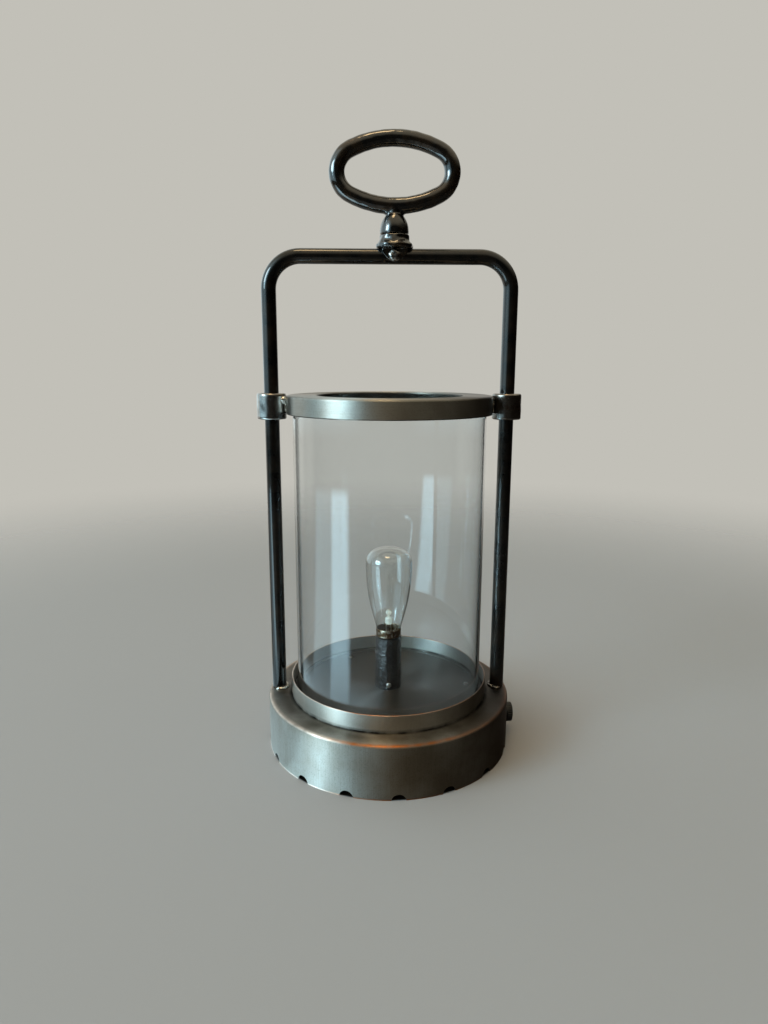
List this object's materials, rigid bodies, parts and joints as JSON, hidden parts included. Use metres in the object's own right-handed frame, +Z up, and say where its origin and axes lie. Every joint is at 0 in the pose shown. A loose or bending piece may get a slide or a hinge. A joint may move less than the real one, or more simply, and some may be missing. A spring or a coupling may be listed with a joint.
{
  "type": "carrying lantern table lamp",
  "caption": "Table lamp shaped as a carrying lantern: vented drum base, open glass cylinder, lift-off top ring, hoop frame with a swivelling ring handle, and a clear bulb inside.",
  "frame": {"origin": "centre of the base's bottom edge, where the lantern stands on the table", "axes": "+Z up, +X to the right in line with the two legs, front towards -Y, knob near +X"},
  "size_m": [0.2201, 0.2094, 0.501],
  "materials": {
    "aged_pewter": "satin",
    "dark_bronze": "satin",
    "bare_steel": "satin",
    "brass": "satin",
    "painted_plate": "matte",
    "black_card": "satin",
    "black_plastic": "satin",
    "cell_jacket": "gloss",
    "red_wire": "gloss",
    "black_wire": "gloss",
    "clear_glass": "gloss",
    "bulb_glass": "gloss",
    "lamp_resin": "gloss"
  },
  "bodies": {
    "lantern": {"base_drum": "aged_pewter", "gallery_pan": "aged_pewter", "pan_rivets": "dark_bronze", "frame_tube": "dark_bronze", "foot_welds": "bare_steel", "handle_boss": "dark_bronze", "boss_rivet": "dark_bronze", "lamp_nipple": "brass", "nipple_washer": "bare_steel", "nipple_nuts": "brass", "socket_bracket": "bare_steel", "socket_shell": "black_plastic", "socket_screw_shell": "brass", "socket_contact": "brass", "socket_sleeve": "black_card", "sleeve_screw": "bare_steel", "switch_body": "black_plastic", "switch_nut": "bare_steel", "switch_terminals": "brass", "bottom_plate": "painted_plate", "plate_standoffs": "painted_plate", "plate_screws": "bare_steel", "battery_tray": "black_plastic", "battery_cells": "cell_jacket", "battery_springs": "bare_steel", "battery_contacts": "bare_steel", "feed_wire": "red_wire", "link_wire": "red_wire", "return_wire": "black_wire"},
    "glass": {"glass_chimney": "clear_glass"},
    "top_ring": {"ring_band": "aged_pewter", "collar_left": "dark_bronze", "collar_right": "dark_bronze", "collar_welds": "bare_steel"},
    "handle": {"ring_handle": "dark_bronze", "handle_clip": "bare_steel"},
    "bulb": {"bulb_envelope": "bulb_glass", "bulb_screw_cap": "brass", "bulb_insulator": "black_plastic", "bulb_tip": "bare_steel", "bulb_lead_wires": "brass", "bulb_bead": "bulb_glass", "bulb_lamp": "lamp_resin"},
    "knob": {"switch_shaft": "bare_steel", "switch_knob": "black_plastic"},
    "battery_cover": {"battery_cover": "black_plastic"}
  },
  "joints": [
    {"name": "glass_lift", "type": "slide", "parent": "lantern", "child": "glass", "axis": [0, 0, 1], "range_m": [0, 0.02]},
    {"name": "ring_lift", "type": "slide", "parent": "glass", "child": "top_ring", "axis": [0, 0, 1], "range_m": [0, 0.06]},
    {"name": "bulb_lift", "type": "slide", "parent": "lantern", "child": "bulb", "axis": [0, 0, 1], "range_m": [0, 0.12]},
    {"name": "handle_swivel", "type": "hinge", "parent": "lantern", "child": "handle", "pos_m": [0.0032, 0, 0.4246], "axis": [0, 0, 1], "continuous": true},
    {"name": "knob_turn", "type": "hinge", "parent": "lantern", "child": "knob", "pos_m": [0.10475, 0, 0.019], "axis": [1, 0, 0], "range_deg": [-270, 0]},
    {"name": "cover_turn", "type": "hinge", "parent": "lantern", "child": "battery_cover", "pos_m": [0, 0, 0.006], "axis": [0, 0, 1], "range_deg": [0, 30]}
  ]
}
